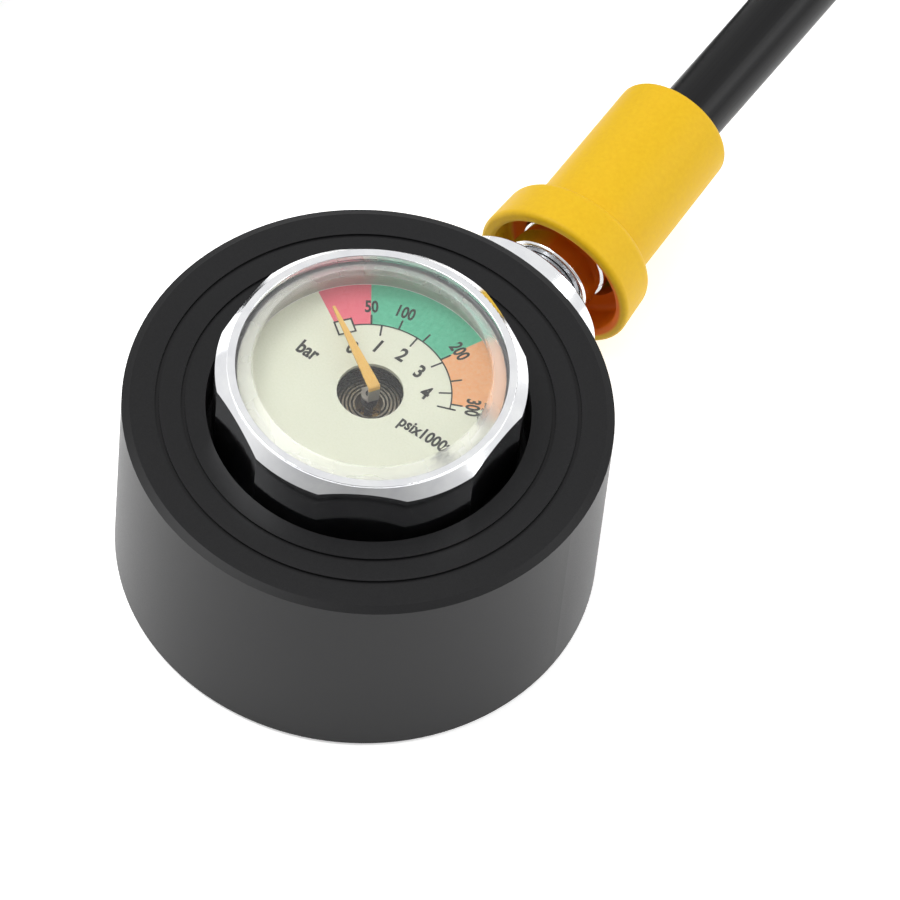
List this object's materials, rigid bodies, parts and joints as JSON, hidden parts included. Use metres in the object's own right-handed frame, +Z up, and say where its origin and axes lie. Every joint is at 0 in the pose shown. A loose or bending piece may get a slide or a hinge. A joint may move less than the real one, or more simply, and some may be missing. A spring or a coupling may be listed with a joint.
{
  "type": "pressure gauge head with hose",
  "caption": "Round gauge head of a high-pressure hand pump, with a dial in its top and a coiled hose that ends in a quick coupler.",
  "frame": {"origin": "centre of the inlet's mouth in the flat base, on the housing's axis", "axes": "+Z up out of the dial, +Y the way the hose leaves, +X to the right as the dial is read"},
  "size_m": [0.1275, 0.2107, 0.0351],
  "materials": {
    "black_anodised": "satin black anodised",
    "black_rubber": "moulded nitrile",
    "clear_silicone": "translucent silicone",
    "sintered_bronze": "sintered, grainy",
    "spring_steel": "drawn, lightly oiled",
    "chrome": "bright plated",
    "brass": "turned",
    "bronze_strip": "rolled strip",
    "dial_paint": "matt printed enamel",
    "satin_ring": "satin",
    "clear_lens": "clear, polished",
    "bright_steel": "ground",
    "dark_hub": "semi-matt",
    "pointer_yellow": "matt enamel",
    "yellow_sleeve": "moulded soft PVC, satin",
    "hose_black": "extruded, semi-gloss",
    "tie_nylon": "moulded nylon"
  },
  "bodies": {
    "head": {"housing": "black_anodised", "inlet_seal": "black_rubber", "inlet_filter": "sintered_bronze", "filter_ring": "spring_steel", "gauge_case": "chrome", "gauge_stem": "brass", "gauge_seal": "black_rubber", "bourdon_tube": "bronze_strip", "dial_plate": "dial_paint", "dial_ring": "satin_ring", "lens_seal": "clear_silicone", "lens": "clear_lens", "lens_ring": "chrome", "hose_coupling": "chrome", "coupling_seal": "black_rubber", "hose_insert": "bright_steel", "hose_ferrule": "chrome", "hose": "hose_black", "hose_coil": "hose_black", "coil_tie": "tie_nylon", "hose_tail": "hose_black", "tail_insert": "bright_steel", "tail_ferrule": "chrome", "coupler_body": "chrome", "coupler_seal": "black_rubber", "coupler_balls": "bright_steel", "coupler_snap_ring": "spring_steel", "coupler_spring": "spring_steel"},
    "needle": {"pointer": "pointer_yellow", "pointer_hub": "dark_hub", "pointer_spindle": "bright_steel"},
    "protector": {"hose_protector": "yellow_sleeve"},
    "sleeve": {"coupler_sleeve": "black_anodised"}
  },
  "joints": [
    {"name": "pointer_turn", "type": "hinge", "parent": "head", "child": "needle", "pos_m": [0, 0, 0.0295], "axis": [0, 0, 1], "range_deg": [-126, 0], "stiffness_Nm_per_rad": 0.00002},
    {"name": "protector_slide", "type": "slide", "parent": "head", "child": "protector", "axis": [0, 1, 0], "range_m": [-0.0036, 0.02]},
    {"name": "sleeve_slide", "type": "slide", "parent": "head", "child": "sleeve", "axis": [0, 1, 0], "range_m": [0, 0.004], "stiffness_N_per_m": 1500, "springref_m": -0.004, "deforming": ["coupler_spring"]}
  ]
}
